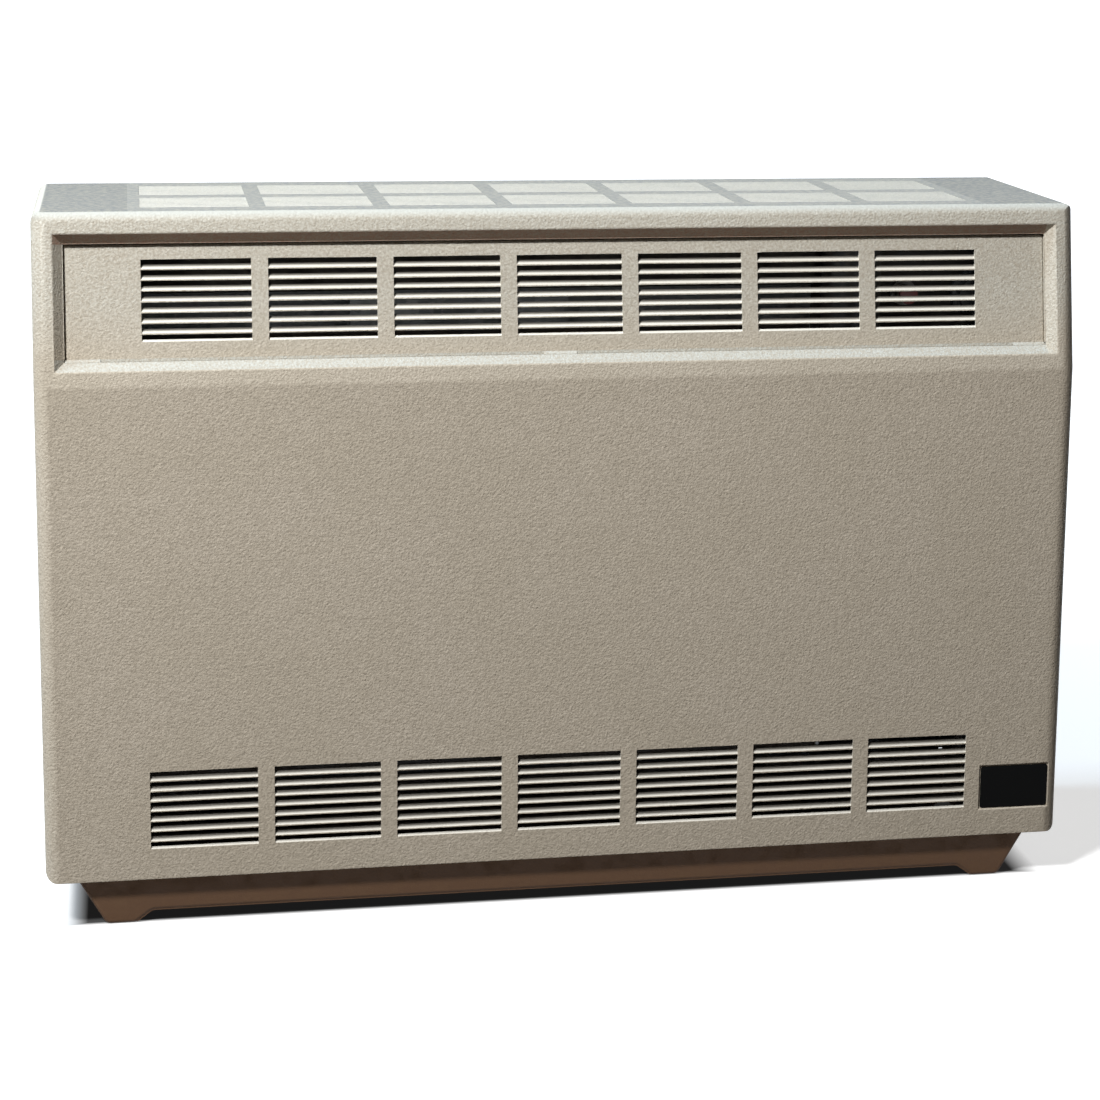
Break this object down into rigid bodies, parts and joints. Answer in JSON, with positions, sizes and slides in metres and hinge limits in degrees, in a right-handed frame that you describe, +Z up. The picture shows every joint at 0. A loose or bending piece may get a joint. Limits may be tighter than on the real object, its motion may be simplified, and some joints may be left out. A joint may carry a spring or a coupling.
{
  "type": "direct-vent wall gas heater",
  "caption": "Low, wide gas room heater in a louvred putty-beige steel cabinet on a dark base, with a sealed burner inside and a coaxial vent through the wall.",
  "frame": {"origin": "on the floor, under the middle of the whole heater's width and depth, vent tubes included", "axes": "+Z up, -Y out of the front into the room, +X to the right of someone who faces the heater"},
  "size_m": [0.936, 0.288, 0.639],
  "materials": {
    "cabinet_paint": "fine textured putty-beige enamel",
    "base_paint": "dark brown semi-matt enamel",
    "plate_black": "satin black with a bare pale rim",
    "galvanised": "galvanised sheet",
    "aluminised": "aluminised sheet",
    "chamber_steel": "heat-resisting matt black coating",
    "screw_zinc": "zinc plated",
    "burner_steel": "heat-tinted aluminised steel",
    "brass": "turned",
    "aluminium_tube": "drawn",
    "black_iron": "black iron pipe",
    "valve_casting": "die cast",
    "black_plastic": "moulded",
    "knob_plastic": "moulded",
    "button_red": "moulded",
    "ceramic": "glazed ceramic",
    "gasket_fibre": "woven glass fibre",
    "sight_glass": "clear",
    "steel_plain": "plain",
    "lead_red": "silicone jacket",
    "lead_copper": "copper sheath",
    "lead_black": "insulated wire"
  },
  "bodies": {
    "cabinet": {"front_panel": "cabinet_paint", "top_panel": "cabinet_paint", "left_end_panel": "cabinet_paint", "right_end_panel": "cabinet_paint", "grille_clips": "steel_plain", "nameplate": "plate_black", "base_tray": "base_paint", "back_panel": "galvanised", "cabinet_screws": "screw_zinc", "partition_panel": "galvanised", "chamber_front_half": "chamber_steel", "chamber_rear_half": "chamber_steel", "chamber_supports": "steel_plain", "heat_shield": "aluminised", "shield_standoffs": "screw_zinc", "air_deflector": "aluminised", "air_drop_duct": "galvanised", "flue_tube": "aluminised", "air_tube": "galvanised", "vent_spacers": "steel_plain", "vent_gasket": "gasket_fibre", "burner_tube": "burner_steel", "burner_saddles": "burner_steel", "burner_end_plate": "steel_plain", "end_plate_gasket": "gasket_fibre", "end_plate_screws": "screw_zinc", "orifice_holder": "brass", "main_orifice": "brass", "manifold_tube": "aluminium_tube", "manifold_nut": "brass", "supply_pipe": "black_iron", "supply_coupling": "black_iron", "control_bracket": "galvanised", "gas_valve": "valve_casting", "regulator_cap": "black_plastic", "terminal_block": "black_plastic", "igniter_body": "ceramic", "igniter_nut": "screw_zinc", "pilot_bracket": "steel_plain", "pilot_burner": "brass", "thermopile": "steel_plain", "spark_electrode": "ceramic", "pilot_tube": "aluminium_tube", "thermopile_lead": "lead_copper", "ignition_lead": "lead_red", "window_gasket": "gasket_fibre", "window_glass": "sight_glass", "window_retainer": "steel_plain", "limit_switch": "black_plastic", "limit_wires": "lead_black"},
    "grille": {"access_grille": "cabinet_paint"},
    "spring_cup": {"knob_spring_cup": "screw_zinc"},
    "knob": {"valve_stem": "screw_zinc", "gas_knob": "knob_plastic"},
    "button": {"igniter_button": "button_red"},
    "shutter": {"air_shutter": "brass"}
  },
  "joints": [
    {"name": "grille_tip", "type": "hinge", "parent": "cabinet", "child": "grille", "pos_m": [0, -0.12829, 0.51258], "axis": [1, 0, 0], "range_deg": [0, 60]},
    {"name": "knob_push", "type": "slide", "parent": "cabinet", "child": "spring_cup", "axis": [0, 1, 0], "range_m": [0, 0.005], "stiffness_N_per_m": 600, "springref_m": -0.004},
    {"name": "knob_turn", "type": "hinge", "parent": "spring_cup", "child": "knob", "pos_m": [0.385, -0.091, 0.552], "axis": [0, -1, 0], "range_deg": [0, 180]},
    {"name": "igniter_push", "type": "slide", "parent": "cabinet", "child": "button", "axis": [0, 1, 0], "range_m": [0, 0.007], "stiffness_N_per_m": 500, "springref_m": -0.004},
    {"name": "shutter_turn", "type": "hinge", "parent": "cabinet", "child": "shutter", "pos_m": [0.206, -0.005, 0.16], "axis": [1, 0, 0], "range_deg": [-30, 30]}
  ]
}
